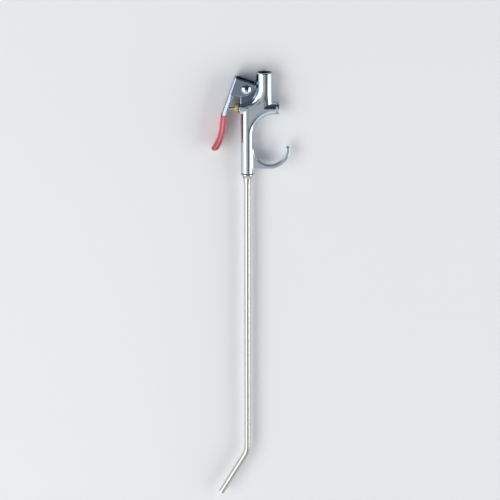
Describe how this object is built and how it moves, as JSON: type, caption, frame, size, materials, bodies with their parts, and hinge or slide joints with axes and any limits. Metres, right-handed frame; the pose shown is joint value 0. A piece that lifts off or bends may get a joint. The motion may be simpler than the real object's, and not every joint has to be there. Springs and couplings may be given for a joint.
{
  "type": "pneumatic air duster",
  "caption": "Lever blow gun for compressed air: hooked casting with threaded inlet and side valve, pressed lever in a vinyl sleeve, long tube nozzle bent near its end.",
  "frame": {"origin": "centre of the air inlet's mouth, where the supply fitting screws in", "axes": "+Y out of the inlet along its thread, so the nozzle runs towards -Y; +X from the lever's side towards the open ring; +Z square to the tool's flat side, up when it lies on a bench"},
  "size_m": [0.079, 0.4666, 0.0181],
  "materials": {
    "casting_chrome": "bright plated",
    "lever_chrome": "plated pressing",
    "grip_vinyl": "dipped, glossy",
    "valve_brass": "turned",
    "seal_rubber": "matt",
    "spring_steel": "drawn wire",
    "plug_chrome": "bright plated",
    "tube_chrome": "bright plated"
  },
  "bodies": {
    "gun": {"body_casting": "casting_chrome", "pivot_rivet": "lever_chrome", "gland_nut": "valve_brass", "gland_washer": "seal_rubber", "rod_ring": "seal_rubber", "packing_washer": "valve_brass", "valve_spring": "spring_steel", "end_plug": "plug_chrome", "plug_gasket": "seal_rubber", "nozzle_fitting": "tube_chrome", "nozzle_ring": "seal_rubber", "nozzle_tube": "tube_chrome"},
    "trigger": {"lever": "lever_chrome", "lever_grip": "grip_vinyl"},
    "valve": {"push_rod": "valve_brass", "valve_head": "valve_brass", "valve_seal": "seal_rubber"}
  },
  "joints": [
    {"name": "lever_pivot", "type": "hinge", "parent": "gun", "child": "trigger", "pos_m": [-0.0182, -0.0163, 0], "axis": [0, 0, 1], "range_deg": [0, 8], "stiffness_Nm_per_rad": 1.2, "springref_deg": -11.46},
    {"name": "rod_slide", "type": "slide", "parent": "gun", "child": "valve", "axis": [1, 0, 0], "range_m": [0, 0.0036], "deforming": ["valve_spring"]}
  ],
  "couplings": [
    {"joint": "rod_slide", "follows": "lever_pivot", "m_per_rad": 0.025671}
  ]
}
